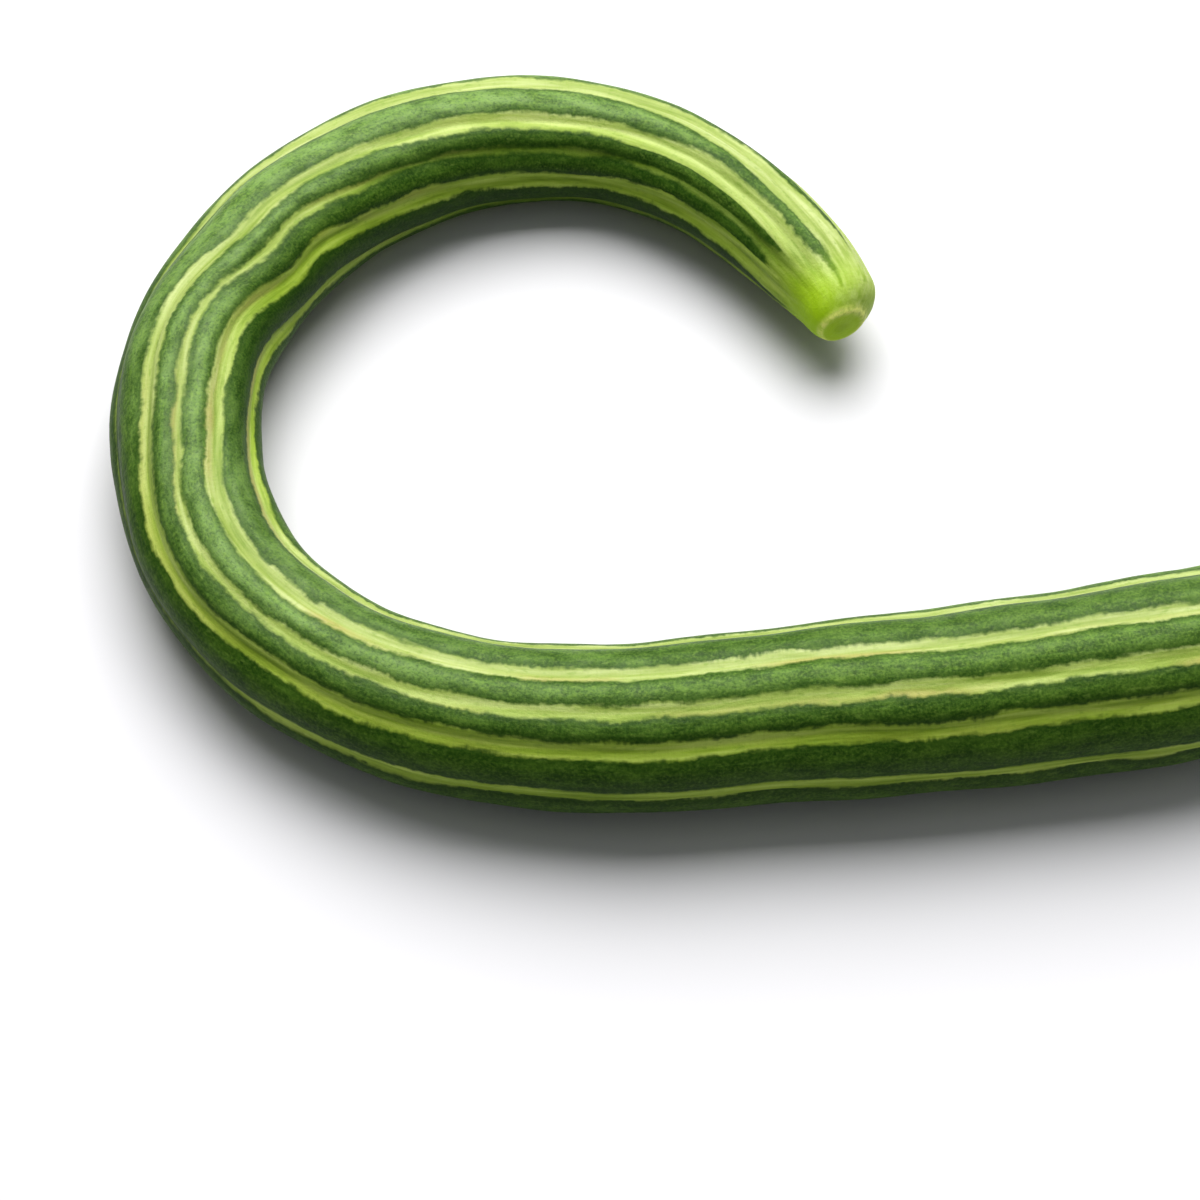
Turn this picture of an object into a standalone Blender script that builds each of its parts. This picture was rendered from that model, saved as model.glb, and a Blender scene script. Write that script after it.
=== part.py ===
# An Armenian cucumber as picked: one long fruit, curled into a hook, with its stub of stalk.
# It lies on its side. Ten shallow furrows run its whole length, with a rounded rib between each two.
# Every size is in millimetres until the mesh is made, which is in metres with +Z up.

import bpy
import bmesh
import numpy as np

MM = 0.001

# The middle line seen from above, from the blossom end round the hook to the cut stalk: x and y.
ROUTE = (
    (67.6, 83.6), (54.0, 106.0), (36.0, 126.5), (5.5, 145.0), (-31.0, 146.5), (-65.5, 131.5),
    (-92.5, 102.0), (-106.5, 66.0), (-105.5, 37.5), (-89.5, 1.0), (-58.5, -24.0), (-8.5, -37.0),
    (41.0, -34.5), (90.5, -29.0), (140.5, -21.0), (190.0, -7.0), (232.0, 12.0), (249.0, 22.0),
)
# Half the thickness over the ribs: distance along the middle line, then radius.
GIRTH = (
    (0.0, 9.4), (28.0, 13.5), (70.0, 15.2), (115.0, 17.2), (180.0, 19.2), (330.0, 19.6), (430.0, 21.0),
    (520.0, 23.0), (565.0, 23.6), (605.0, 22.2), (635.0, 18.2), (652.0, 13.6), (661.0, 10.0), (667.0, 6.6),
    (671.0, 5.3), (677.0, 4.6), (684.0, 4.6), (689.0, 5.2),
)
# How high the middle line lies: it sinks under the radius at three stretches, which are the resting spots.
HEIGHT = (
    (0.0, 20.0), (60.0, 17.4), (130.0, 17.2), (230.0, 20.6), (340.0, 19.2), (440.0, 22.2), (543.0, 22.9),
    (620.0, 24.6), (689.0, 27.0),
)
# Each furrow's place round the fruit in degrees, from the crown towards the inner side of the hook, and its
# depth as a share of the deepest.
FURROWS = (
    (-62.0, 1.0), (-18.5, 1.0), (8.0, 0.6), (38.0, 1.0), (78.0, 0.9), (112.0, 1.0), (149.0, 0.8), (187.0, 1.0),
    (225.0, 0.9), (263.0, 1.0),
)
CROWN_LEAN = 30.0       # degrees that the crown line leans from upright, towards the front (-Y)
# How far the furrows wind round the fruit, in degrees, at distances along it.
WINDING = (
    (0.0, 26.0), (30.0, 19.0), (62.0, 10.0), (92.0, 11.0), (121.0, 9.5), (152.0, 6.0), (184.0, 2.0),
    (200.0, -2.0), (211.0, 0.5), (232.0, -10.0), (268.0, -4.5), (303.0, -11.0), (338.0, -1.5), (365.0, 2.5),
    (414.0, 5.0), (440.0, 3.5), (464.0, 5.0), (515.0, 1.5), (540.0, 2.5), (566.0, 0.0), (610.0, -4.0),
    (689.0, -8.0),
)
FURROW_DEPTH = 0.068    # share of the radius at the same place
FURROW_ROUND = 0.14     # how round the bottom of a furrow is, as a share of half a rib
SMOOTH_TIP = 34.0       # the furrows fade out over this length at the blossom end

DOME = 9.5              # length of the rounded blossom end
DOME_POWER = 2.6        # 2 would be a plain ellipse, and more is blunter
TIP_SKEW = 3.8          # how far the very tip is out of line, towards the inner side of the hook
TIP_SLANT = 3.0         # how much shorter the inner side of the blossom end is
SLANT_LENGTH = 36.0     # the length over which that evens out
SCAR_RADIUS = 5.8       # the ring left by the flower
SCAR_RING = 0.45        # how proud it stands
SCAR_WIDTH = 1.0
SCAR_DISH = 0.5         # how far the skin inside it is sunk

# Swellings of the skin: height, wavelength along, wavelengths round, shift in degrees.
SWELLINGS = ((0.32, 61.0, 1, 40.0), (0.22, 37.0, 2, 200.0), (0.18, 46.0, 3, 110.0))

COLUMNS_PER_RIB = 6
DOME_RINGS = 6
HOOK_END = 350.0
HOOK_RINGS = 42
BODY_END = 620.0
ARM_RINGS = 23
NECK_RINGS = 17
ROUTE_SAMPLES = 3000
SKIN_COLOUR = (0.13, 0.27, 0.07, 1.0)


def smoothest_slopes(at, values):
    """Slopes at the knots that make the curvature run on without a jump."""
    step = np.diff(at)
    rise = np.diff(values) / step
    last = len(at) - 1
    matrix = np.zeros((last + 1, last + 1))
    right = np.zeros(last + 1)
    matrix[0, :2] = 2, 1
    right[0] = 3 * rise[0]
    matrix[last, last - 1:] = 1, 2
    right[last] = 3 * rise[-1]
    for i in range(1, last):
        matrix[i, i - 1:i + 2] = step[i], 2 * (step[i - 1] + step[i]), step[i - 1]
        right[i] = 3 * (step[i] * rise[i - 1] + step[i - 1] * rise[i])
    return np.linalg.solve(matrix, right)


def steady_slopes(at, values):
    """Slopes at the knots that never let the curve pass above or below them."""
    rise = np.diff(values) / np.diff(at)
    before, after = rise[:-1], rise[1:]
    same_way = before * after > 0
    mean = 2 * before * after / np.where(same_way, before + after, 1)
    return np.concatenate([rise[:1], np.where(same_way, mean, 0), rise[-1:]])


def curve_through(at, values, slopes_of):
    """A function of distance that passes through the knots."""
    at, values = np.asarray(at), np.asarray(values)
    slopes = slopes_of(at, values)

    def curve(x):
        i = np.clip(np.searchsorted(at, x) - 1, 0, len(at) - 2)
        step = at[i + 1] - at[i]
        t = np.clip((x - at[i]) / step, 0, 1)
        rest = 1 - t
        ends = values[i] * rest * rest * (1 + 2 * t) + values[i + 1] * t * t * (1 + 2 * rest)
        return ends + step * t * rest * (slopes[i] * rest - slopes[i + 1] * t)

    return curve


def middle_line(distance):
    """Points of the middle line, and its directions, at these distances from the blossom end."""
    knots = np.array(ROUTE)
    chord = np.concatenate([[0], np.cumsum(np.hypot(*np.diff(knots, axis=0).T))])
    fine = np.linspace(0, chord[-1], ROUTE_SAMPLES)
    plan = np.stack([curve_through(chord, knots[:, i], smoothest_slopes)(fine) for i in (0, 1)], axis=1)
    run = np.concatenate([[0], np.cumsum(np.hypot(*np.diff(plan, axis=0).T))])
    reach = run * GIRTH[-1][0] / run[-1]
    x, y = (np.interp(distance, reach, plan[:, i]) for i in (0, 1))
    z = curve_through(*zip(*HEIGHT), smoothest_slopes)(distance)
    heading = np.gradient(np.stack([x, y, z], axis=1), distance, axis=0)
    return np.stack([x, y, z], axis=1), heading / np.linalg.norm(heading, axis=1, keepdims=True)


def ring_places():
    """Distances of the rings: closest together on the blossom end and the neck."""
    quarter = np.linspace(0, np.pi / 2, DOME_RINGS + 1)[1:]
    dome = DOME * (1 - np.cos(quarter))
    hook = np.linspace(DOME, HOOK_END, HOOK_RINGS)[1:]
    arm = np.linspace(HOOK_END, BODY_END, ARM_RINGS)[1:]
    neck = np.linspace(BODY_END, GIRTH[-1][0], NECK_RINGS)[1:]
    return np.concatenate([dome, hook, arm, neck])


def column_places():
    """Each column's angle before winding, and the furrow depth that reaches it, from 0 on a rib's crest."""
    angles = [a for a, _ in FURROWS] + [FURROWS[0][0] + 360]
    shares = [d for _, d in FURROWS] + [FURROWS[0][1]]
    count = len(FURROWS) * COLUMNS_PER_RIB
    place = np.arange(count) / COLUMNS_PER_RIB
    from_furrow = 2 * np.abs(place - np.round(place))
    rounded = np.sqrt(from_furrow ** 2 + FURROW_ROUND ** 2)
    deep = np.clip(1 - rounded, 0, 1) ** 2 / (1 - FURROW_ROUND) ** 2
    ribs = np.arange(len(angles))
    return np.radians(np.interp(place, ribs, angles)), deep * np.interp(place, ribs, shares)


def ease(x):
    """From 0 to 1 without a corner at either end."""
    x = np.clip(x, 0, 1)
    return x * x * (3 - 2 * x)


def swell(distance, angle):
    """Unevenness of the skin at a distance and an angle."""
    total = np.zeros(np.broadcast(distance, angle).shape)
    for height, length, turns, shift in SWELLINGS:
        total += height * np.sin(2 * np.pi * distance / length + np.radians(shift)) * np.cos(turns * angle)
    return total


def skin_points():
    """The skin as rings of points, from the blossom end to the cut stalk."""
    distance = ring_places()
    middle, heading = middle_line(distance)
    lean = np.radians(CROWN_LEAN)
    crown = np.array([0, -np.sin(lean), np.cos(lean)])
    crown = crown - heading * (heading @ crown)[:, None]
    crown /= np.linalg.norm(crown, axis=1, keepdims=True)
    inward = np.cross(crown, heading)

    angle, deep = column_places()
    wound = angle + np.radians(curve_through(*zip(*WINDING), smoothest_slopes)(distance))[:, None]
    radius = curve_through(*zip(*GIRTH), steady_slopes)(distance)
    to_dome = np.clip(1 - distance / DOME, 0, 1)
    radius = radius * (1 - to_dome ** DOME_POWER) ** (1 / DOME_POWER)
    middle = middle + inward * (TIP_SKEW * to_dome ** 2)[:, None]
    fade = ease(distance / SMOOTH_TIP)
    slant = TIP_SLANT / 2 * (1 - ease(distance / SLANT_LENGTH))
    girth = radius[:, None] * (1 - FURROW_DEPTH * fade[:, None] * deep[None, :])
    thickest = max(r for _, r in GIRTH)
    girth = girth + swell(distance[:, None], wound) * (fade * radius / thickest)[:, None]

    ring = np.exp(-((radius - SCAR_RADIUS) / SCAR_WIDTH) ** 2)
    dish = np.exp(-(radius / (SCAR_RADIUS - SCAR_WIDTH)) ** 4)
    push = np.where(distance < DOME, SCAR_RING * ring - SCAR_DISH * dish, 0)
    points = (middle - heading * push[:, None])[:, None, :]
    points = points + girth[:, :, None] * (
        np.cos(wound)[:, :, None] * crown[:, None, :] + np.sin(wound)[:, :, None] * inward[:, None, :]
    )
    back = slant[:, None] * (1 + girth / GIRTH[0][1] * np.sin(wound))
    points = points + back[:, :, None] * heading[:, None, :]
    points[:, :, 2] = np.maximum(points[:, :, 2], 0)
    (start, _), (forward, _) = middle_line(np.array([0.0, 1.0]))
    start = start + inward[0] * TIP_SKEW + forward * (SCAR_DISH + TIP_SLANT / 2)
    return points, start, middle[-1]


def fruit_mesh():
    """One closed skin, centred over its own outline and resting at z = 0."""
    points, tip, cut = skin_points()
    low, high = points.min(axis=(0, 1)), points.max(axis=(0, 1))
    shift = np.array([-(low[0] + high[0]) / 2, -(low[1] + high[1]) / 2, 0])
    mesh = bpy.data.meshes.new("fruit")
    shape = bmesh.new()
    rings = [[shape.verts.new((p + shift) * MM) for p in ring] for ring in points]
    columns = len(rings[0])
    for near, far in zip(rings, rings[1:]):
        for i in range(columns):
            j = (i + 1) % columns
            shape.faces.new((near[i], near[j], far[j], far[i]))
    for ring, centre in ((rings[0], tip), (rings[-1], cut)):
        pole = shape.verts.new((centre + shift) * MM)
        for i in range(columns):
            shape.faces.new((ring[i], ring[(i + 1) % columns], pole))
    bmesh.ops.recalc_face_normals(shape, faces=shape.faces)
    bmesh.ops.triangulate(shape, faces=shape.faces)
    shape.to_mesh(mesh)
    shape.free()
    mesh.shade_smooth()
    return mesh


def skin_material():
    """Ribs of matt, waxy green skin."""
    material = bpy.data.materials.new("skin")
    material.use_nodes = True
    shader = material.node_tree.nodes["Principled BSDF"]
    shader.inputs["Base Color"].default_value = SKIN_COLOUR
    shader.inputs["Roughness"].default_value = 0.42
    shader.inputs["Metallic"].default_value = 0.0
    return material


def main():
    for old in list(bpy.data.objects):
        bpy.data.objects.remove(old, do_unlink=True)
    fruit = bpy.data.objects.new("fruit", fruit_mesh())
    fruit.data.materials.append(skin_material())
    bpy.context.scene.collection.objects.link(fruit)


main()
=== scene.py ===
# An Armenian cucumber as picked: one long fruit that curls into a hook, with its short cut stalk.
# The ribbed, striped skin is grown along the fruit's middle line. Sizes are in millimetres until the
# finished mesh is scaled to metres.

import bmesh
import bpy
import numpy as np
from mathutils import Matrix, Vector


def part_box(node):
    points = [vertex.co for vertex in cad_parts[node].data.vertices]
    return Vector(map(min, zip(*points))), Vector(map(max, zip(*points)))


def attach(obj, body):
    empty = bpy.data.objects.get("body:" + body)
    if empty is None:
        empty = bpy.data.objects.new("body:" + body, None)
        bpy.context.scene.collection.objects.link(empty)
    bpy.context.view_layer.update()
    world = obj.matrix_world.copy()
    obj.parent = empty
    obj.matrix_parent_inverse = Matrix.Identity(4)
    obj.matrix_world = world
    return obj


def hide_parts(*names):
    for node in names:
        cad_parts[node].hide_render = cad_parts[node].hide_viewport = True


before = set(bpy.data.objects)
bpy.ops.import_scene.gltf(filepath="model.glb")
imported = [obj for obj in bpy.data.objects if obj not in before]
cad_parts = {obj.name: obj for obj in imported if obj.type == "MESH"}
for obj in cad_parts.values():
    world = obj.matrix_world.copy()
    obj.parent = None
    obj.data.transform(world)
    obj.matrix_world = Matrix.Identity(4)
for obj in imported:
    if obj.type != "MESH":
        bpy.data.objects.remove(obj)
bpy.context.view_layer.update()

MM = 0.001

# The middle line seen from above, from the blossom end round the hook to the cut stalk: x and y.
ROUTE = (
    (67.6, 83.6), (54.0, 106.0), (36.0, 126.5), (5.5, 145.0), (-31.0, 146.5), (-65.5, 131.5),
    (-92.5, 102.0), (-106.5, 66.0), (-105.5, 37.5), (-89.5, 1.0), (-58.5, -24.0), (-8.5, -37.0),
    (41.0, -34.5), (90.5, -29.0), (140.5, -21.0), (190.0, -7.0), (232.0, 12.0), (249.0, 22.0),
)
# Half the thickness over the ribs: distance along the middle line, then radius.
GIRTH = (
    (0.0, 9.4), (28.0, 13.5), (70.0, 15.2), (115.0, 17.2), (180.0, 19.2), (330.0, 19.6), (430.0, 21.0),
    (520.0, 23.0), (565.0, 23.6), (605.0, 22.2), (635.0, 18.2), (652.0, 13.6), (661.0, 10.0), (667.0, 6.6),
    (671.0, 5.3), (677.0, 4.6), (684.0, 4.6), (689.0, 5.2),
)
# How high the middle line lies: distance, then height.
HEIGHT = (
    (0.0, 20.0), (60.0, 17.4), (130.0, 17.2), (230.0, 20.6), (340.0, 19.2), (440.0, 22.2), (543.0, 22.9),
    (620.0, 24.6), (689.0, 27.0),
)
# Each furrow's place round the fruit in degrees from the crown, and its depth as a share of the deepest.
FURROWS = (
    (-62.0, 1.0), (-18.5, 1.0), (8.0, 0.6), (38.0, 1.0), (78.0, 0.9),
    (112.0, 1.0), (149.0, 0.8), (187.0, 1.0), (225.0, 0.9), (263.0, 1.0),
)
CROWN_LEAN = 30.0       # the crown leans to the front by this many degrees
# How far the furrows have wound round the fruit: distance, then degrees.
WINDING = (
    (0.0, 26.0), (30.0, 19.0), (62.0, 10.0), (92.0, 11.0), (121.0, 9.5), (152.0, 6.0), (184.0, 2.0),
    (200.0, -2.0), (211.0, 0.5), (232.0, -10.0), (268.0, -4.5), (303.0, -11.0), (338.0, -1.5), (365.0, 2.5),
    (414.0, 5.0), (440.0, 3.5), (464.0, 5.0), (515.0, 1.5), (540.0, 2.5), (566.0, 0.0), (610.0, -4.0),
    (689.0, -8.0),
)
FURROW_DEPTH = 0.068    # share of the radius at the same place
FURROW_ROUND = 0.14     # how round the bottom of a furrow is, as a share of half a rib
SMOOTH_TIP = 34.0       # the furrows fade out over this length at the blossom end
DOME = 9.5              # length of the rounded blossom end
DOME_POWER = 2.6        # how square its shoulder is, where 2 would be an ellipse
TIP_SKEW = 3.8          # how far the middle of its face lies to the inner side
TIP_SLANT = 3.0         # how much shorter its inner side is
SLANT_LENGTH = 36.0     # the length over which that evens out
SCAR_RADIUS = 5.8       # the ring left by the flower
SCAR_RING = 0.45        # how far the ring stands out
SCAR_WIDTH = 1.0        # how far it reaches to either side
SCAR_DISH = 0.5         # how far the skin inside it lies back
# Swellings of the skin: height, wavelength along, wavelengths round, shift in degrees.
SWELLINGS = ((0.32, 61.0, 1, 40.0), (0.22, 37.0, 2, 200.0), (0.18, 46.0, 3, 110.0))
PIT_LENGTHENING = 0.55  # a pit's breadth over its length
DRIFT_ALONG = 15.0      # over how many mm along the fruit a stripe drifts off its furrow and back
DRIFT_ROUND = 10.0      # and over how many round it

COLUMNS_PER_RIB = 22
DOME_RINGS = 26
RING_SPACING = 1.75
CUT_RINGS = 7
CUT_DISH = 0.35         # how far the cut face of the stalk has dried inwards
ROUTE_SAMPLES = 3000
LOOK_ALONG = 0.5        # the middle line's direction is taken over this length to either side
MERGE_METRES = 0.000001     # points closer than this are one
ANY_DEPTH = -10000.0    # lower than any place on the fruit

# Pale stripes, one in each furrow. Each entry gives the distance along the fruit, how far the stripe
# reaches to the outer and to the inner side of its furrow in mm, and how pale it is.
COMMON_STRIPE = (
    (0, 9.0, 9.0, 1.0), (14, 5.0, 5.0, 1.0), (26, 3.4, 3.4, 1.0), (50, 2.7, 2.7, 1.0), (110, 2.4, 2.4, 1.0),
    (600, 2.4, 2.4, 1.0), (650, 1.6, 1.6, 1.0), (664, 1.2, 1.2, 0.8), (689, 2.0, 2.0, 0.6),
)
STRIPES = (
    ((0, 9.0, 9.0, 1.0), (3, 6.0, 5.5, 1.0), (7, 4.8, 3.9, 1.0), (12, 4.0, 3.6, 1.0), (18, 3.6, 3.6, 1.0),
     (34, 2.9, 5.2, 1.0), (48, 2.8, 5.1, 1.0), (64, 2.8, 4.2, 1.0), (85, 2.9, 2.6, 1.0),
     (105, 3.7, 1.6, 1.0), (122, 3.9, 1.2, 1.0), (180, 3.5, 1.1, 1.0), (200, 2.6, 0.5, 0.9),
     (225, 1.3, -1.0, 0.7), (245, 0.8, -1.4, 0.5), (310, 0.8, -1.4, 0.5), (350, 1.6, 1.8, 1.0),
     (420, 0.8, 3.9, 1.0), (600, 0.8, 3.9, 1.0), (650, 1.2, 2.0, 1.0), (689, 2.0, 2.0, 0.6)),
    ((0, 9.0, 9.0, 1.0), (3, 5.0, 8.5, 1.0), (7, 3.1, 7.9, 1.0), (12, 2.7, 7.4, 1.0), (18, 2.5, 6.6, 1.0),
     (30, 2.9, 5.9, 1.0), (36, 2.9, 5.2, 1.0), (48, 2.8, 4.6, 1.0), (64, 2.6, 4.1, 1.0),
     (78, 1.9, 2.9, 1.0), (92, 2.1, 2.4, 1.0), (125, 2.7, 2.3, 1.0), (150, 2.4, 2.1, 1.0),
     (180, 2.0, 1.9, 1.0), (240, 2.3, 2.3, 1.0), (600, 2.1, 2.1, 1.0), (650, 1.4, 1.4, 1.0),
     (689, 2.0, 2.0, 0.6)),
    ((0, 9.0, 9.0, 1.0), (10, 5.4, 6.0, 0.95), (20, 3.6, 3.6, 0.7), (29, 1.4, 1.9, 0.4),
     (36, 0.4, 1.3, 0.25), (48, -0.4, 1.4, 0.25), (64, -0.3, 1.3, 0.3), (78, 0.3, 1.0, 0.4),
     (92, 0.6, 0.7, 0.35), (120, 0.6, 0.6, 0.3), (165, 0.6, 0.6, 0.35), (185, 0.9, 0.9, 0.9),
     (225, 1.2, 1.2, 1.0), (330, 1.2, 1.2, 1.0), (400, 1.8, 1.8, 1.0), (600, 2.0, 2.0, 1.0),
     (650, 1.4, 1.4, 1.0), (689, 2.0, 2.0, 0.6)),
    ((0, 9.0, 9.0, 1.0), (20, 6.0, 5.0, 1.0), (34, 4.2, 3.6, 1.0), (48, 3.4, 3.1, 1.0), (70, 2.6, 2.7, 1.0),
     (150, 2.5, 2.5, 1.0), (330, 2.4, 2.4, 1.0), (380, 2.1, 2.1, 1.0), (600, 1.9, 1.9, 1.0),
     (650, 1.4, 1.4, 1.0), (689, 2.0, 2.0, 0.6)),
    ((0, 9.0, 9.0, 1.0), (14, 3.6, 5.0, 1.0), (26, 2.0, 3.2, 1.0), (50, 1.4, 2.2, 0.6), (90, 1.8, 1.8, 0.4),
     (150, 1.8, 1.8, 0.5), (200, 2.2, 2.2, 0.9), (230, 2.4, 2.4, 1.0), (600, 2.4, 2.4, 1.0),
     (650, 1.6, 1.6, 1.0), (664, 1.2, 1.2, 0.8), (689, 2.0, 2.0, 0.6)),
    COMMON_STRIPE, COMMON_STRIPE, COMMON_STRIPE, COMMON_STRIPE, COMMON_STRIPE,
)
RIB_TURN = (0.4, 0.6)   # what differs from stripe to stripe changes between these shares of the rib
FURROW_TURN = 0.02      # what differs between a stripe's two sides changes over this share of a rib
SHARP_TURN = 0.0005     # and the width of the rib, over this one

# The way the side that faces the key light looks. The skin is painted paler and creamier there, a painted
# light, from the first of these two shares of a full facing toward that light to the second.
LIT_SIDE_WAY = (0.0, 0.46, 0.89)
LIT_SIDE_RANGE = (0.3, 0.95)
SHADE = 0.4             # how deep the painted shade is on the side turned from the key light
DEEP_RIB = ((3.1, 3.4, 0.3), (3.9, 4.1, -0.3))  # one rib is deeper green: places round the fruit, change
# How much painted sheen, a pale grey green, lies on the lit side of the ribs: distance, then amount.
PAINTED_SHEEN_ALONG = (
    (0.0, 0.0), (50.0, 0.2), (100.0, 0.9), (140.0, 1.0), (320.0, 1.0), (400.0, 0.6), (470.0, 0.3),
    (540.0, 0.3), (600.0, 0.45), (689.0, 0.5),
)
# How much of a brownish dry fringe each stripe has on its outer edge.
DRY_STRIPES = (0.0, 0.35, 1.0, 1.0, 1.0, 1.0, 1.0, 1.0, 1.0, 1.0)
DRY_MOST = 0.5
# Where marks start to come in or fade, and over what length, in mm along the fruit.
GREEN_TIP = (2.0, 20.0)
DRY_FRINGE = (85.0, 50.0)
STALK_SKIN = (650.0, 18.0)
# The same in mm from the middle of the scar.
SCAR_SKIN = (SCAR_RADIUS - 1.0, 1.4)
SCAR_CORE = (0.6, 2.6)
SCAR_RIM = (SCAR_RADIUS + 0.4, 0.8)     # where its pale rim lies, and how far that reaches either way
SCAR_REACH = 4.0        # the rim's colour may run on past the rounded end by this much
CUT_PITH = (0.3, 0.5)   # as shares of the way to the middle of the stalk's cut face

# The camera of the photograph: degrees from straight above, and its distance from the point that it
# looks at, which lies this high above the origin of the route.
CAMERA_TILT = 30.0
CAMERA_DISTANCE = 837.2
LOOK_AT_HEIGHT = 20.24
TABLE_METRES = 3.0      # from the middle of the table top to each side


def linear(hex_code):
    """A colour written as sRGB hex, as the linear values that a shader takes."""
    parts = [int(hex_code[i:i + 2], 16) / 255 for i in (0, 2, 4)]
    return tuple(c / 12.92 if c <= 0.04045 else ((c + 0.055) / 1.055) ** 2.4 for c in parts) + (1.0,)


def add(tree, kind, inputs=(), out=0, **settings):
    """Adds a node with its settings, fills its inputs with values or links, and gives one output."""
    node = tree.nodes.new(kind)
    for name, value in settings.items():
        setattr(node, name, value)
    for key, value in inputs.items() if isinstance(inputs, dict) else enumerate(inputs):
        if isinstance(value, bpy.types.NodeSocket):
            tree.links.new(value, node.inputs[key])
        else:
            node.inputs[key].default_value = value
    return node if out is None else node.outputs[out]


def smoothest_slopes(at, values):
    """Slopes at the knots that make the curvature run on without a jump."""
    step = np.diff(at)
    rise = np.diff(values) / step
    last = len(at) - 1
    matrix = np.zeros((last + 1, last + 1))
    right = np.zeros(last + 1)
    matrix[0, :2] = 2, 1
    right[0] = 3 * rise[0]
    matrix[last, last - 1:] = 1, 2
    right[last] = 3 * rise[-1]
    for i in range(1, last):
        matrix[i, i - 1:i + 2] = step[i], 2 * (step[i - 1] + step[i]), step[i - 1]
        right[i] = 3 * (step[i] * rise[i - 1] + step[i - 1] * rise[i])
    return np.linalg.solve(matrix, right)


def steady_slopes(at, values):
    """Slopes at the knots that never let the curve pass above or below them."""
    rise = np.diff(values) / np.diff(at)
    before, after = rise[:-1], rise[1:]
    same_way = before * after > 0
    mean = 2 * before * after / np.where(same_way, before + after, 1)
    return np.concatenate([rise[:1], np.where(same_way, mean, 0), rise[-1:]])


def curve_through(at, values, slopes_of):
    """A function of distance that passes through the knots."""
    at, values = np.asarray(at, float), np.asarray(values, float)
    slopes = slopes_of(at, values)

    def curve(x):
        i = np.clip(np.searchsorted(at, x) - 1, 0, len(at) - 2)
        step = at[i + 1] - at[i]
        t = np.clip((x - at[i]) / step, 0, 1)
        rest = 1 - t
        ends = values[i] * rest * rest * (1 + 2 * t) + values[i + 1] * t * t * (1 + 2 * rest)
        return ends + step * t * rest * (slopes[i] * rest - slopes[i + 1] * t)

    return curve


def middle_line(distance):
    """Points of the middle line, and its directions, at these distances from the blossom end."""
    knots = np.array(ROUTE)
    chord = np.concatenate([[0], np.cumsum(np.hypot(*np.diff(knots, axis=0).T))])
    fine = np.linspace(0, chord[-1], ROUTE_SAMPLES)
    plan = np.stack([curve_through(chord, knots[:, i], smoothest_slopes)(fine) for i in (0, 1)], axis=1)
    run = np.concatenate([[0], np.cumsum(np.hypot(*np.diff(plan, axis=0).T))])
    length = GIRTH[-1][0]
    reach = run * length / run[-1]
    height = curve_through(*zip(*HEIGHT), smoothest_slopes)

    def place(at):
        across = [np.interp(at, reach, plan[:, i]) for i in (0, 1)]
        return np.stack(across + [height(at)], axis=1)

    heading = place(np.minimum(distance + LOOK_ALONG, length)) - place(np.maximum(distance - LOOK_ALONG, 0))
    return place(distance), heading / np.linalg.norm(heading, axis=1, keepdims=True)


def coming_in(x, start, length):
    """From 0 at start to 1 a length further on, without a corner at either end."""
    x = np.clip((x - start) / length, 0, 1)
    return x * x * (3 - 2 * x)


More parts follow.
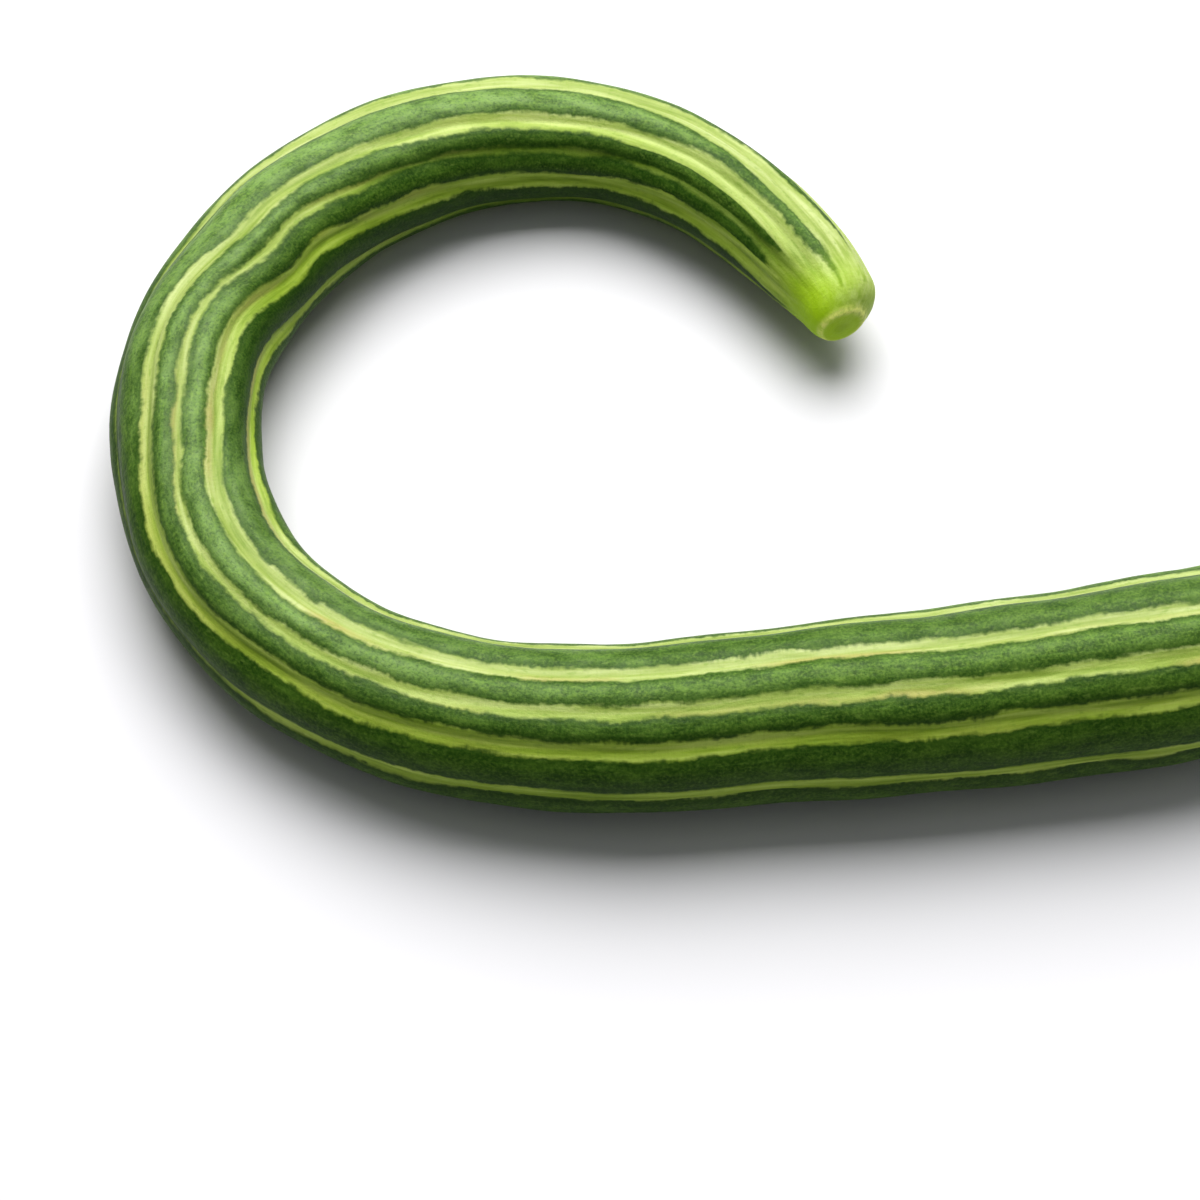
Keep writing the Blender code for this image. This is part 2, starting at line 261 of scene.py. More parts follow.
def rings_of_the_fruit():
    """What the growth, the colours and the placing need at each ring, from the blossom end to the stalk.

    The first numbers steer the growth, the marks only the colours, and the places are vectors."""
    length = GIRTH[-1][0]
    dome = DOME * (1 - np.cos(np.linspace(0, np.pi / 2, DOME_RINGS)))
    body = np.linspace(DOME, length, round((length - DOME) / RING_SPACING))[1:]
    distance = np.concatenate([dome, body, np.full(CUT_RINGS, length)])
    cut = np.concatenate([np.zeros(len(dome) + len(body)), np.arange(1, CUT_RINGS + 1) / CUT_RINGS])
    middle, heading = middle_line(distance)
    lean = np.radians(CROWN_LEAN)
    crown = np.array([0, -np.sin(lean), np.cos(lean)])
    crown = crown - heading * (heading @ crown)[:, None]
    crown /= np.linalg.norm(crown, axis=1, keepdims=True)
    inward = np.cross(crown, heading)

    full = curve_through(*zip(*GIRTH), steady_slopes)(distance)
    to_dome = np.clip(1 - distance / DOME, 0, 1)
    radius = full * (1 - to_dome ** DOME_POWER) ** (1 / DOME_POWER) * (1 - cut)
    ring = np.exp(-((radius - SCAR_RADIUS) / SCAR_WIDTH) ** 2)
    dish = np.exp(-(radius / (SCAR_RADIUS - SCAR_WIDTH)) ** 4)
    push = np.where(distance < DOME, SCAR_RING * ring - SCAR_DISH * dish, 0)
    push = push + np.where(cut > 0, CUT_DISH * (1 - (1 - cut) ** 2), 0)
    middle = middle + inward * (TIP_SKEW * to_dome ** 2)[:, None] - heading * push[:, None]

    step = np.hypot(np.diff(distance), np.diff(radius))
    fade = coming_in(distance, 0, SMOOTH_TIP)
    on_dome = distance < DOME
    facts = {
        "distance": distance,
        "along": np.concatenate([[0], np.cumsum(step)]),
        "thickness": radius,
        "winding": np.radians(curve_through(*zip(*WINDING), smoothest_slopes)(distance)),
        "furrow_share": FURROW_DEPTH * fade,
        "swell_share": fade * radius / max(r for _, r in GIRTH),
        "slant": TIP_SLANT / 2 * (1 - coming_in(distance, 0, SLANT_LENGTH)),
        "green_tip": 1 - coming_in(distance, *GREEN_TIP),
        "fringe": DRY_MOST * coming_in(distance, *DRY_FRINGE),
    }
    for i, stripe in enumerate(STRIPES):
        at, outer, inner, strength = zip(*stripe)
        facts[f"outer_{i}"] = curve_through(at, outer, steady_slopes)(distance)
        facts[f"inner_{i}"] = curve_through(at, inner, steady_slopes)(distance)
        facts[f"strength_{i}"] = curve_through(at, strength, steady_slopes)(distance)
    rim_at, rim_width = SCAR_RIM
    rim = np.exp(-((radius - rim_at) / rim_width) ** 2)
    marks = {
        # painted sheen along the fruit: painted light on the side that faces the key light
        "painted_sheen_along": curve_through(*zip(*PAINTED_SHEEN_ALONG), steady_slopes)(distance),
        "scar": np.where(on_dome, 1 - coming_in(radius, *SCAR_SKIN), 0),
        "scar_ring": np.where(distance < DOME + SCAR_REACH, rim, 0),
        "scar_core": np.where(on_dome, 1 - coming_in(radius, *SCAR_CORE), 0),
        "stalk": coming_in(distance, *STALK_SKIN),
        "cut": coming_in(cut, 0, 1 / CUT_RINGS),
        "pith": coming_in(cut, *CUT_PITH),
    }
    return facts, marks, {"middle": middle, "crown": crown, "inward": inward, "heading": heading}


def spine_mesh(numbers, places):
    """A line with one point for each ring, which carries what is known there as attributes."""
    count = len(numbers["distance"])
    mesh = bpy.data.meshes.new("spine")
    mesh.from_pydata([(i, 0, 0) for i in range(count)], [(i, i + 1) for i in range(count - 1)], [])
    for name, values in numbers.items():
        mesh.attributes.new(name, "FLOAT", "POINT").data.foreach_set("value", values.astype(np.float32))
    for name, values in places.items():
        layer = mesh.attributes.new(name, "FLOAT_VECTOR", "POINT")
        layer.data.foreach_set("vector", values.astype(np.float32).ravel())
    return mesh


def passing(tree, place, start, changes):
    """A value that starts at start and takes each change (from, to, amount) while place passes it."""
    total = start
    for low, high, amount in changes:
        step = add(tree, "ShaderNodeMapRange", {0: place, 1: low, 2: high, 3: 0.0, 4: amount})
        total = add(tree, "ShaderNodeMath", (total, step), operation="ADD")
    return total


def skin_growth(facts, places):
    """The tree that grows the ribbed skin round the spine."""
    tree = bpy.data.node_groups.new("skin_growth", "GeometryNodeTree")
    face = tree.interface
    face.new_socket("Spine", in_out="INPUT", socket_type="NodeSocketGeometry")
    for name, kind in (
        ("Columns per rib", "Int"), ("Furrow roundness", "Float"), ("Pitting height", "Float"),
        ("Pitting size", "Float"), ("Stripe drift", "Float"), ("Seed", "Float"),
        ("Scale to metres", "Float"), ("Skin", "Material"),
    ):
        face.new_socket(name, in_out="INPUT", socket_type="NodeSocket" + kind)
    face.new_socket("Fruit", in_out="OUTPUT", socket_type="NodeSocketGeometry")
    given = add(tree, "NodeGroupInput", out=None).outputs
    known = {}
    for names, kind in ((facts, "FLOAT"), (places, "FLOAT_VECTOR")):
        for name in names:
            known[name] = add(tree, "GeometryNodeInputNamedAttribute", {"Name": name}, data_type=kind)
    ribs = len(FURROWS)

    # the ring that is swept along the spine, with each point's place round it counted in ribs
    columns = add(tree, "ShaderNodeMath", (given["Columns per rib"], ribs), operation="MULTIPLY")
    ring = add(tree, "GeometryNodeCurvePrimitiveCircle", {"Resolution": columns, "Radius": 1.0})
    counted = add(tree, "ShaderNodeMath", (add(tree, "GeometryNodeInputIndex"), given["Columns per rib"]),
                  operation="DIVIDE")
    numbered = {"Geometry": ring, "Name": "place", "Value": counted}
    ring = add(tree, "GeometryNodeStoreNamedAttribute", numbered, data_type="FLOAT", domain="POINT")
    rope = add(tree, "GeometryNodeMeshToCurve", {"Mesh": given["Spine"]})
    tube = add(tree, "GeometryNodeCurveToMesh", {"Curve": rope, "Profile Curve": ring})
    place = add(tree, "GeometryNodeInputNamedAttribute", {"Name": "place"}, data_type="FLOAT")

    # the angle round the fruit, from uneven ribs and the winding of the furrows
    angles = [np.radians(a) for a, _ in FURROWS] + [np.radians(FURROWS[0][0] + 360)]
    gaps = [b - a for a, b in zip(angles, angles[1:])]
    straight_angle = passing(tree, place, angles[0], [(i, i + 1, gap) for i, gap in enumerate(gaps)])
    angle = add(tree, "ShaderNodeMath", (straight_angle, known["winding"]), operation="ADD")
    gap = passing(tree, place, gaps[0],
                  [(i - SHARP_TURN, i + SHARP_TURN, gaps[i] - gaps[i - 1]) for i in range(1, ribs)])
    shares = [share for _, share in FURROWS] + [FURROWS[0][1]]
    share = passing(tree, place, shares[0],
                    [(i, i + 1, b - a) for i, (a, b) in enumerate(zip(shares, shares[1:]))])

    # furrows: deepest at each whole place, with a rounded bottom
    nearest = add(tree, "ShaderNodeMath", (place,), operation="ROUND")
    off = add(tree, "ShaderNodeMath", (place, nearest), operation="SUBTRACT")
    away = add(tree, "ShaderNodeMath", (off,), operation="ABSOLUTE")
    from_furrow = add(tree, "ShaderNodeMath", (away, 2.0), operation="MULTIPLY")
    squared = add(tree, "ShaderNodeMath", (from_furrow, from_furrow), operation="MULTIPLY")
    bottom = add(tree, "ShaderNodeMath", (given["Furrow roundness"], given["Furrow roundness"]),
                 operation="MULTIPLY")
    blunted = add(tree, "ShaderNodeMath", (squared, bottom), operation="ADD")
    rounded = add(tree, "ShaderNodeMath", (blunted,), operation="SQRT")
    rest = add(tree, "ShaderNodeMath", (1.0, rounded), operation="SUBTRACT", use_clamp=True)
    most = add(tree, "ShaderNodeMath", (1.0, given["Furrow roundness"]), operation="SUBTRACT")
    part = add(tree, "ShaderNodeMath", (rest, most), operation="DIVIDE")
    deep = add(tree, "ShaderNodeMath", (part, part), operation="MULTIPLY")
    deep = add(tree, "ShaderNodeMath", (deep, share), operation="MULTIPLY")
    dug = add(tree, "ShaderNodeMath", (deep, known["furrow_share"]), operation="MULTIPLY")
    kept = add(tree, "ShaderNodeMath", (1.0, dug), operation="SUBTRACT")
    girth = add(tree, "ShaderNodeMath", (known["thickness"], kept), operation="MULTIPLY")

    # slow swellings of the whole skin
    for height, length, turns, shift in SWELLINGS:
        phase = add(tree, "ShaderNodeMath", (known["distance"], 2 * np.pi / length, np.radians(shift)),
                    operation="MULTIPLY_ADD")
        wave = add(tree, "ShaderNodeMath", (phase,), operation="SINE")
        turned = add(tree, "ShaderNodeMath", (angle, float(turns)), operation="MULTIPLY")
        around = add(tree, "ShaderNodeMath", (turned,), operation="COSINE")
        both = add(tree, "ShaderNodeMath", (wave, around), operation="MULTIPLY")
        share_here = add(tree, "ShaderNodeMath", (known["swell_share"], height), operation="MULTIPLY")
        girth = add(tree, "ShaderNodeMath", (both, share_here, girth), operation="MULTIPLY_ADD")

    # where each point would be on a fruit that is straight and not wound: the pattern follows this
    cosine = add(tree, "ShaderNodeMath", (straight_angle,), operation="COSINE")
    sine = add(tree, "ShaderNodeMath", (straight_angle,), operation="SINE")
    unrolled = add(tree, "ShaderNodeCombineXYZ", (
        known["along"],
        add(tree, "ShaderNodeMath", (cosine, girth), operation="MULTIPLY"),
        add(tree, "ShaderNodeMath", (sine, girth), operation="MULTIPLY"),
    ))

    # shallow pits and lumps that catch the light, drawn out along the fruit
    spread = add(tree, "ShaderNodeVectorMath", (unrolled, (PIT_LENGTHENING, 1.0, 1.0)),
                 operation="MULTIPLY")
    finer = add(tree, "ShaderNodeMath", (1.0, given["Pitting size"]), operation="DIVIDE")
    noise = add(tree, "ShaderNodeTexNoise",
                {"Vector": spread, "W": given["Seed"], "Scale": finer, "Detail": 2.0}, noise_dimensions="4D")
    bumps = add(tree, "ShaderNodeMath", (noise, 0.5), operation="SUBTRACT")
    bumps = add(tree, "ShaderNodeMath", (bumps, given["Pitting height"]), operation="MULTIPLY")
    girth_now = add(tree, "ShaderNodeMath", (bumps, known["swell_share"], girth), operation="MULTIPLY_ADD")

    # put each point round the middle line, slant the blossom end, and let the skin lie flat where it rests
    cosine = add(tree, "ShaderNodeMath", (angle,), operation="COSINE")
    sine = add(tree, "ShaderNodeMath", (angle,), operation="SINE")
    up = add(tree, "ShaderNodeVectorMath", {0: known["crown"], "Scale": cosine}, operation="SCALE")
    side = add(tree, "ShaderNodeVectorMath", {0: known["inward"], "Scale": sine}, operation="SCALE")
    outward = add(tree, "ShaderNodeVectorMath", (up, side), operation="ADD")
    spoke = add(tree, "ShaderNodeVectorMath", {0: outward, "Scale": girth_now}, operation="SCALE")
    spot = add(tree, "ShaderNodeVectorMath", (known["middle"], spoke), operation="ADD")
    tilt = add(tree, "ShaderNodeMath", (sine, girth), operation="MULTIPLY")
    tilt = add(tree, "ShaderNodeMath", (tilt, 1 / GIRTH[0][1], 1.0), operation="MULTIPLY_ADD")
    tilt = add(tree, "ShaderNodeMath", (tilt, known["slant"]), operation="MULTIPLY")
    back = add(tree, "ShaderNodeVectorMath", {0: known["heading"], "Scale": tilt}, operation="SCALE")
    spot = add(tree, "ShaderNodeVectorMath", (spot, back), operation="ADD")
    spot = add(tree, "ShaderNodeVectorMath", (spot, (ANY_DEPTH, ANY_DEPTH, 0.0)), operation="MAXIMUM")
    skin = add(tree, "GeometryNodeSetPosition", {"Geometry": tube, "Position": spot})

    # how far each point is from the edge of the pale stripe in its furrow: below nothing is inside it
    half_rib = add(tree, "ShaderNodeMath", (off, gap), operation="MULTIPLY")
    to_furrow = add(tree, "ShaderNodeMath", (half_rib, known["thickness"]), operation="MULTIPLY")
    slowed = (1 / DRIFT_ALONG, 1 / DRIFT_ROUND, 1 / DRIFT_ROUND)
    slow = add(tree, "ShaderNodeVectorMath", (unrolled, slowed), operation="MULTIPLY")
    drift = add(tree, "ShaderNodeTexNoise",
                {"Vector": slow, "W": given["Seed"], "Scale": 1.0, "Detail": 1.0}, noise_dimensions="4D")
    drift = add(tree, "ShaderNodeMath", (drift, 0.5), operation="SUBTRACT")
    to_furrow = add(tree, "ShaderNodeMath", (drift, given["Stripe drift"], to_furrow),
                    operation="MULTIPLY_ADD")
    turn_from, turn_to = RIB_TURN
    changes, fades, dries = [], [], []
    for i in range(ribs):
        after = (i + 1) % ribs
        turn = (i + turn_from, i + turn_to)
        grows = add(tree, "ShaderNodeMath", (known[f"outer_{after}"], known[f"inner_{i}"]),
                    operation="SUBTRACT")
        changes.append((*turn, grows))
        turns = add(tree, "ShaderNodeMath", (known[f"inner_{after}"], known[f"outer_{after}"]),
                    operation="SUBTRACT")
        if i + 1 < ribs:
            changes.append((i + 1 - FURROW_TURN, i + 1 + FURROW_TURN, turns))
        pales = add(tree, "ShaderNodeMath", (known[f"strength_{after}"], known[f"strength_{i}"]),
                    operation="SUBTRACT")
        fades.append((*turn, pales))
        if DRY_STRIPES[after] != DRY_STRIPES[i]:
            dries.append((*turn, DRY_STRIPES[after] - DRY_STRIPES[i]))
    reach = passing(tree, place, known["inner_0"], changes)
    strength = passing(tree, place, known["strength_0"], fades)
    fringe = passing(tree, place, DRY_STRIPES[0], dries)
    fringe = add(tree, "ShaderNodeMath", (fringe, known["fringe"]), operation="MULTIPLY")
    apart = add(tree, "ShaderNodeMath", (to_furrow,), operation="ABSOLUTE")
    edge = add(tree, "ShaderNodeMath", (apart, reach), operation="SUBTRACT")

    # the side that faces the key light, where light is painted, the painted shade on the side turned from it
    # with one rib darker still, and the yellow green of the blossom end, which goes from weak on the outer
    # side of the curl to nearly full on the inner side
    facing = add(tree, "ShaderNodeVectorMath", (outward, LIT_SIDE_WAY), out=1, operation="DOT_PRODUCT")
    lit_side = add(tree, "ShaderNodeMapRange", {0: facing, 1: LIT_SIDE_RANGE[0], 2: LIT_SIDE_RANGE[1], 3: 0.0, 4: 1.0},
                 interpolation_type="SMOOTHSTEP")
    deeper = passing(tree, place, SHADE, DEEP_RIB)
    shade_and_dark_rib = add(tree, "ShaderNodeMath", (lit_side, -SHADE, deeper), operation="MULTIPLY_ADD")
    inner = add(tree, "ShaderNodeMapRange", {0: sine, 1: -0.9, 2: 0.6, 3: 0.2, 4: 0.95})
    green = add(tree, "ShaderNodeMath", (inner, known["green_tip"]), operation="MULTIPLY")
    for name, value, kind in (
        ("unrolled", unrolled, "FLOAT_VECTOR"), ("stripe_edge", edge, "FLOAT"),
        ("stripe_side", to_furrow, "FLOAT"), ("stripe_strength", strength, "FLOAT"),
        ("lit_side", lit_side, "FLOAT"), ("shade_and_dark_rib", shade_and_dark_rib, "FLOAT"), ("dry_fringe", fringe, "FLOAT"),
        ("blossom_green", green, "FLOAT"),
    ):
        stored = {"Geometry": skin, "Name": name, "Value": value}
        skin = add(tree, "GeometryNodeStoreNamedAttribute", stored, data_type=kind, domain="POINT")

    size = add(tree, "ShaderNodeCombineXYZ", (given["Scale to metres"],) * 3)
    skin = add(tree, "GeometryNodeTransform", {"Geometry": skin, "Scale": size})
    skin = add(tree, "GeometryNodeMergeByDistance", {"Geometry": skin, "Distance": MERGE_METRES})
    skin = add(tree, "GeometryNodeSetShadeSmooth", {"Geometry": skin})
    skin = add(tree, "GeometryNodeRealizeInstances", {"Geometry": skin})
    skin = add(tree, "GeometryNodeSetMaterial", {"Geometry": skin, "Material": given["Skin"]})
    add(tree, "NodeGroupOutput", (skin,), out=None)
    return tree


def grown(tree, mesh, settings, name):
    """The tree's result on a mesh, as a plain mesh of its own."""
    carrier = bpy.data.objects.new(name + "_spine", mesh)
    bpy.context.scene.collection.objects.link(carrier)
    modifier = carrier.modifiers.new("growth", "NODES")
    modifier.node_group = tree
    for item in tree.interface.items_tree:
        if item.item_type == "SOCKET" and item.in_out == "INPUT" and item.name in settings:
            modifier[item.identifier] = settings[item.name]
    bpy.context.view_layer.update()
    evaluated = carrier.evaluated_get(bpy.context.evaluated_depsgraph_get())
    result = bpy.data.meshes.new_from_object(evaluated)
    carrier.modifiers.remove(modifier)
    bpy.data.objects.remove(carrier, do_unlink=True)
    result.name = name
    return result


def skin_material():
    """Rind of a fresh snake melon: green skin under plant wax, faintly downy, pale along the furrows.

    The wax gives a soft broken sheen along the ribs. The pale grey green on the side that faces the key
    light is painted sheen, the stripes are painted creamier there, and the green is painted deeper on the
    side turned away: painted light and shade. The stripes fray into the green in short teeth that run across
    the fruit."""
    material = bpy.data.materials.new("fresh_waxy_rind")
    material.use_nodes = True
    tree = material.node_tree
    shader = tree.nodes["Principled BSDF"]
    # what the skin carries: its place on the unrolled fruit as a vector, and the rest as plain numbers
    read = {"unrolled": add(tree, "ShaderNodeAttribute", out=1, attribute_name="unrolled")}
    for name in (
        "stripe_edge", "stripe_side", "stripe_strength", "lit_side", "shade_and_dark_rib", "painted_sheen_along", "dry_fringe",
        "blossom_green", "scar", "scar_ring", "scar_core", "stalk", "cut", "pith",
    ):
        read[name] = add(tree, "ShaderNodeAttribute", out=2, attribute_name=name)

    # Noises: size in mm along the fruit and round it, detail, roughness, and the number of the pattern. The
    # real down and pores are a few tenths of a millimetre apart, too fine to show in the render, so the
    # grain and the threads are drawn about 0.8 mm apart.
    noise = {}
    for name, along, around, detail, rough, seed in (
        ("wander", 13.0, 5.0, 2.0, 0.5, 1.0),
        ("teeth", 1.5, 5.0, 2.0, 0.5, 2.0),
        ("calm", 26.0, 9.0, 1.0, 0.5, 9.0),
        ("blotch", 9.0, 4.0, 3.0, 0.55, 3.0),
        ("mottle", 3.2, 1.5, 4.0, 0.6, 4.0),
        ("thread", 0.75, 9.0, 2.0, 0.6, 5.0),
        ("grain", 0.8, 0.7, 2.0, 0.6, 6.0),
        ("flow", 34.0, 2.2, 3.0, 0.55, 7.0),
        ("patch", 42.0, 14.0, 2.0, 0.5, 8.0),
        ("streak", 22.0, 0.9, 2.0, 0.5, 10.0),
        ("fleck", 2.6, 1.2, 2.0, 0.5, 12.0),
    ):
        scaled = add(tree, "ShaderNodeVectorMath", (read["unrolled"], (1 / along, 1 / around, 1 / around)),
                     operation="MULTIPLY")
        noise[name] = add(tree, "ShaderNodeTexNoise",
                          {"Vector": scaled, "W": seed, "Scale": 1.0, "Detail": detail, "Roughness": rough},
                          noise_dimensions="4D")

    # the frayed edge of the pale stripes, in mm: slow waves, flecks, and teeth that are longer in places
    edge = read["stripe_edge"]
    bite = add(tree, "ShaderNodeMapRange", {0: noise["calm"], 1: 0.38, 2: 0.66, 3: 0.5, 4: 2.0})
    for name, reach in (("wander", 3.0), ("fleck", 1.6), ("teeth", bite)):
        lean = add(tree, "ShaderNodeMath", (noise[name], 0.5), operation="SUBTRACT")
        edge = add(tree, "ShaderNodeMath", (lean, reach, edge), operation="MULTIPLY_ADD")
    soft = 0.7
    pale = add(tree, "ShaderNodeMapRange", {0: edge, 1: soft, 2: -soft, 3: 0.0, 4: 1.0},
               interpolation_type="SMOOTHSTEP")
    pale = add(tree, "ShaderNodeMath", (pale, read["stripe_strength"]), operation="MULTIPLY")

    # the mottled green of the ribs, and the stripes' colour painted yellow green in shade and cream where
    # the light falls: painted light and shade
    ramps = []
    for name, stops in (
        ("mottle", ((0.24, "1E3A08"), (0.50, "3A5B13"), (0.76, "557523"))),
        ("flow", ((0.32, "728B26"), (0.48, "90A83E"), (0.66, "AABD5C"))),
        ("flow", ((0.32, "7C9044"), (0.48, "96A65F"), (0.66, "AEBA7E"))),
    ):
        node = add(tree, "ShaderNodeValToRGB", {0: noise[name]}, out=None)
        node.color_ramp.elements.new(0.5)
        for element, (position, code) in zip(node.color_ramp.elements, stops):
            element.position = position
            element.color = linear(code)
        ramps.append(node.outputs[0])
    dark, stripe_in_painted_shade, stripe_in_painted_light = ramps
    # painted light: the stripe colour moves from its shaded copy to its lit copy on the side that faces the
    # key light
    light = add(tree, "ShaderNodeMix", {0: read["lit_side"], 6: stripe_in_painted_shade, 7: stripe_in_painted_light}, out=2,
                data_type="RGBA")

    # how strong the painted sheen on the lit side is, in patches, how strong the pale flecks are, and where
    # a stripe's dry edge is
    sheen_patches = add(tree, "ShaderNodeMapRange", {0: noise["blotch"], 1: 0.36, 2: 0.62, 3: 0.16, 4: 0.54})
    painted_sheen = add(tree, "ShaderNodeMath", (read["lit_side"], read["painted_sheen_along"]), operation="MULTIPLY")
    painted_sheen = add(tree, "ShaderNodeMath", (painted_sheen, sheen_patches), operation="MULTIPLY")
    near = add(tree, "ShaderNodeMapRange", {0: edge, 1: 0.5, 2: 5.0, 3: 0.5, 4: 0.12})
    dry = add(tree, "ShaderNodeMapRange", {0: read["stripe_side"], 1: 0.2, 2: -1.2, 3: 0.0, 4: 1.0})
    dry = add(tree, "ShaderNodeMath", (dry, read["dry_fringe"]), operation="MULTIPLY")

    # Layers on the dark rind and on the pale stripes, the lowest first: what each layer follows, the values
    # between which it comes in, its strength at each, and its colour.
    rib_layers = (
        (noise["blotch"], 0.47, 0.68, 0.0, 0.4, "6B8C30"),      # lighter blotches
        (noise["blotch"], 0.50, 0.30, 0.0, 0.5, "233E08"),      # deeper blotches
        (painted_sheen, 0.0, 1.0, 0.0, 1.0, "8AA56C"),                  # painted sheen on the lit side
        (noise["thread"], 0.55, 0.75, 0.0, 0.22, "6F9640"),     # threads across the ribs
        (noise["streak"], 0.54, 0.74, 0.0, 0.3, "70983C"),      # streaks along them
        (noise["grain"], 0.46, 0.74, 0.0, 0.42, "86A348"),      # light dots
        (noise["grain"], 0.46, 0.28, 0.0, 0.5, "1B3608"),       # dark pits
        (noise["fleck"], 0.60, 0.72, 0.0, near, "8CA653"),      # pale flecks, mostly beside a stripe
        (read["shade_and_dark_rib"], 0.0, 1.0, 0.0, 1.0, "18330A"),         # painted shade away from the key light, and one darker rib
        (edge, 0.4, 2.6, 0.6, 0.0, "224006"),                   # a deep green rim beside each stripe
    )
    stripe_layers = (
        (noise["patch"], 0.46, 0.60, 0.0, dry, "AA9862"),       # the brownish dry edge, in stretches
        (noise["thread"], 0.52, 0.78, 0.0, 0.22, "7B9040"),     # faint threads across
        (noise["fleck"], 0.42, 0.30, 0.0, 0.4, "6E8A34"),       # olive flecks
    )
    skins = []
    for skin, layers in ((dark, rib_layers), (light, stripe_layers)):
        for follows, start, full, least, most, code in layers:
            amount = add(tree, "ShaderNodeMapRange", {0: follows, 1: start, 2: full, 3: least, 4: most})
            skin = add(tree, "ShaderNodeMix", {0: amount, 6: skin, 7: linear(code)}, out=2, data_type="RGBA")
        skins.append(skin)
    colour = add(tree, "ShaderNodeMix", {0: pale, 6: skins[0], 7: skins[1]}, out=2, data_type="RGBA")

    # the marks at the two ends: the yellow green blossom end, the scar with its broken rim, and the stalk
    broken = add(tree, "ShaderNodeMapRange", {0: noise["fleck"], 1: 0.36, 2: 0.58, 3: 0.35, 4: 0.95})
    for name, share, code in (
        ("blossom_green", 1.0, "A2C61A"), ("scar", 0.8, "A2C024"), ("scar_ring", broken, "E2E788"),
        ("scar_core", 0.3, "6F8A22"), ("stalk", 0.75, "838F4C"), ("cut", 1.0, "9B9460"),
        ("pith", 0.7, "BAB88D"),
    ):
        amount = add(tree, "ShaderNodeMath", (read[name], share), operation="MULTIPLY")
        colour = add(tree, "ShaderNodeMix", {0: amount, 6: colour, 7: linear(code)}, out=2, data_type="RGBA")
    tree.links.new(colour, shader.inputs["Base Color"])

    # the wax is glossier on the darker spots of the mottle
    gloss = add(tree, "ShaderNodeMapRange", {0: noise["mottle"], 1: 0.3, 2: 0.7, 3: 0.38, 4: 0.56})
    tree.links.new(gloss, shader.inputs["Roughness"])

    # relief, in mm
    height = 0.0
    for name, rise in (("mottle", 0.16), ("grain", 0.10), ("thread", 0.08)):
        height = add(tree, "ShaderNodeMath", (noise[name], rise, height), operation="MULTIPLY_ADD")
    bump = add(tree, "ShaderNodeBump", {"Strength": 1.0, "Distance": MM, "Height": height})
    tree.links.new(bump, shader.inputs["Normal"])
    shader.inputs["IOR"].default_value = 1.45
    shader.inputs["Specular IOR Level"].default_value = 0.16
    shader.inputs["Subsurface Weight"].default_value = 0.06
    shader.inputs["Subsurface Radius"].default_value = (0.6, 1.0, 0.3)
    shader.inputs["Subsurface Scale"].default_value = 0.002
    return material


def the_fruit():
    """The whole fruit as one closed skin in the place of the solid. Gives how far it had to be moved."""
    settings = {
        "Columns per rib": COLUMNS_PER_RIB,
        "Furrow roundness": FURROW_ROUND,
        "Pitting height": 0.5,
        "Pitting size": 7.0,
        "Stripe drift": 2.4,
        "Seed": 11.0,
        "Scale to metres": MM,
        "Skin": skin_material(),
    }
    facts, marks, places = rings_of_the_fruit()
    spine = spine_mesh({**facts, **marks}, places)
    mesh = grown(skin_growth(facts, places), spine, settings, "striped_rind")
    shape = bmesh.new()
    shape.from_mesh(mesh)
    bmesh.ops.remove_doubles(shape, verts=shape.verts, dist=MERGE_METRES)
    bmesh.ops.recalc_face_normals(shape, faces=shape.faces)
    shape.to_mesh(mesh)
    shape.free()
    corners = np.array([v.co for v in mesh.vertices])
    low, high = corners.min(axis=0), corners.max(axis=0)
    solid_low, solid_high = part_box("fruit")
    shift = Vector([(solid_low[i] + solid_high[i] - low[i] - high[i]) / 2 for i in (0, 1)] + [0.0])
    mesh.transform(Matrix.Translation(shift))
    fruit = bpy.data.objects.new("striped_rind", mesh)
    bpy.context.scene.collection.objects.link(fruit)
    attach(fruit, "root")
    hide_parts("fruit")
    return shift


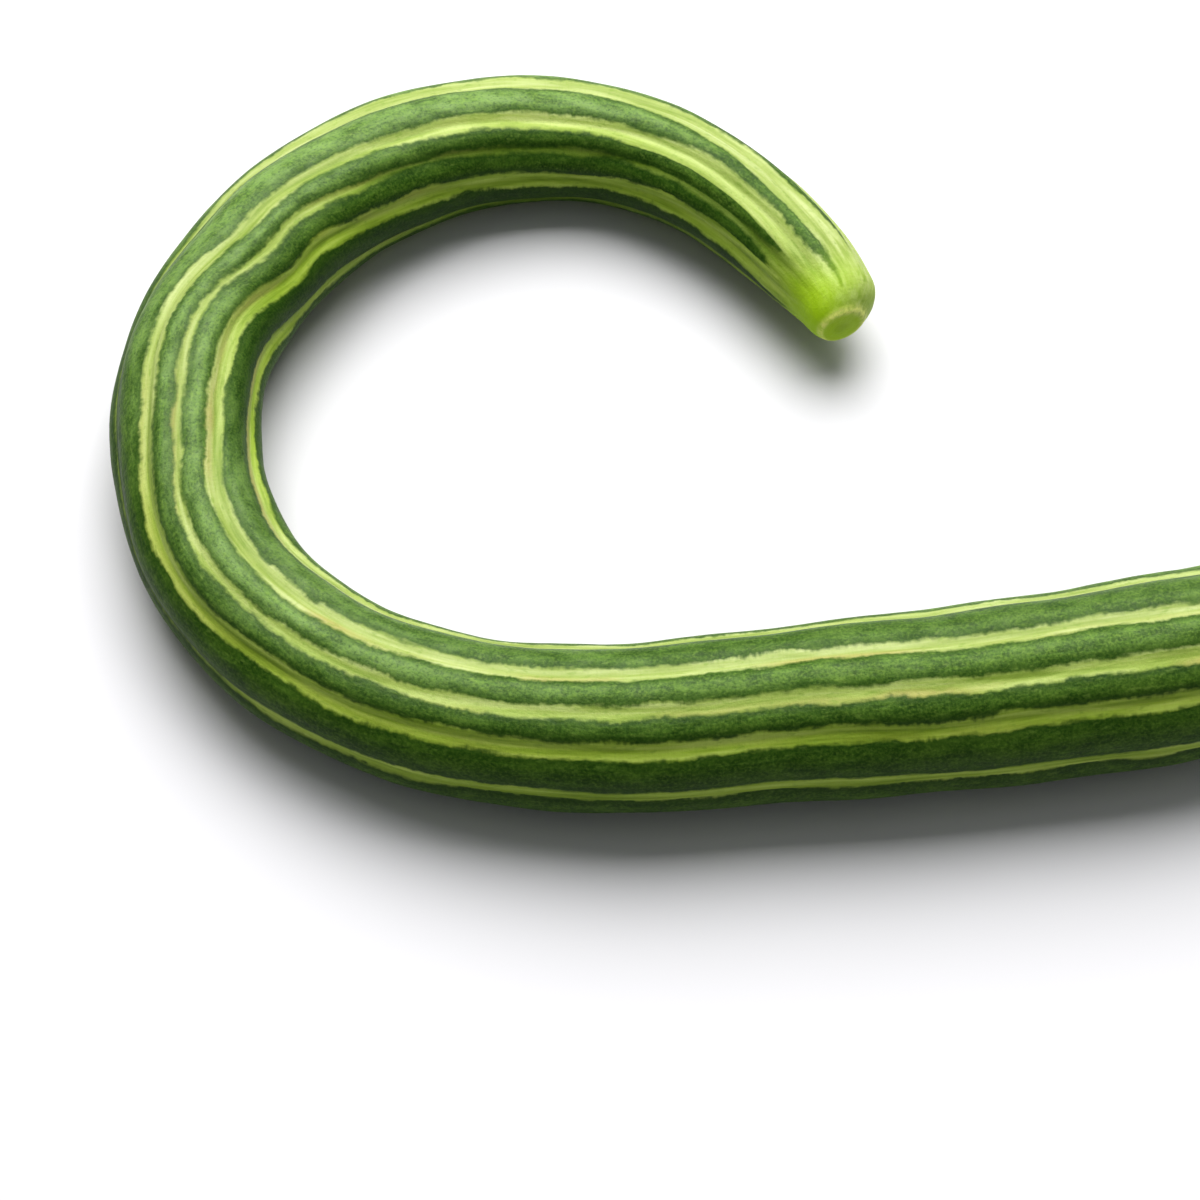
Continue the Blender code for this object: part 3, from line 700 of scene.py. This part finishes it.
def table_top():
    """A plain table top under the fruit, of white laminate whose fine texture shows as an even matt."""
    far = TABLE_METRES
    mesh = bpy.data.meshes.new("table_top")
    mesh.from_pydata([(-far, -far, 0), (far, -far, 0), (far, far, 0), (-far, far, 0)], [], [(0, 1, 2, 3)])
    material = bpy.data.materials.new("matt_white_laminate")
    material.use_nodes = True
    shader = material.node_tree.nodes["Principled BSDF"]
    shader.inputs["Base Color"].default_value = linear("CBCBCF")
    shader.inputs["Roughness"].default_value = 0.6
    mesh.materials.append(material)
    floor = bpy.data.objects.new("table_top", mesh)
    bpy.context.scene.collection.objects.link(floor)


def studio(shift):
    """The camera of the photograph, and soft light from above and behind."""
    camera = bpy.data.objects.new("camera", bpy.data.cameras.new("camera"))
    camera.data.lens = 100
    camera.data.sensor_width = 36
    camera.data.clip_start = 0.01
    tilt = np.radians(CAMERA_TILT)
    look_at = shift + Vector((0, 0, LOOK_AT_HEIGHT)) * MM
    camera.location = look_at + Vector((0, -np.sin(tilt), np.cos(tilt))) * CAMERA_DISTANCE * MM
    camera.rotation_euler = (tilt, 0, 0)
    bpy.context.scene.collection.objects.link(camera)
    bpy.context.scene.camera = camera
    for name, place, size, watts, tint in (
        ("key", (-0.05, 0.75, 1.32), 1.5, 45.0, (1.0, 0.99, 0.97)),
        ("fill", (0.3, -0.4, 1.6), 1.6, 2.0, (0.98, 0.99, 1.0)),
    ):
        lamp = bpy.data.lights.new(name, "AREA")
        lamp.size = size
        lamp.energy = watts
        lamp.color = tint
        light = bpy.data.objects.new(name, lamp)
        light.location = place
        light.rotation_euler = (-Vector(place)).to_track_quat("-Z", "Y").to_euler()
        bpy.context.scene.collection.objects.link(light)
    world = bpy.data.worlds.new("soft_room")
    world.use_nodes = True
    world.node_tree.nodes["Background"].inputs["Color"].default_value = (0.97, 0.98, 1.0, 1.0)
    world.node_tree.nodes["Background"].inputs["Strength"].default_value = 0.2
    bpy.context.scene.world = world
    bpy.context.scene.view_settings.view_transform = "Standard"
    bpy.context.scene.view_settings.look = "Medium High Contrast"


shift = the_fruit()
table_top()
studio(shift)
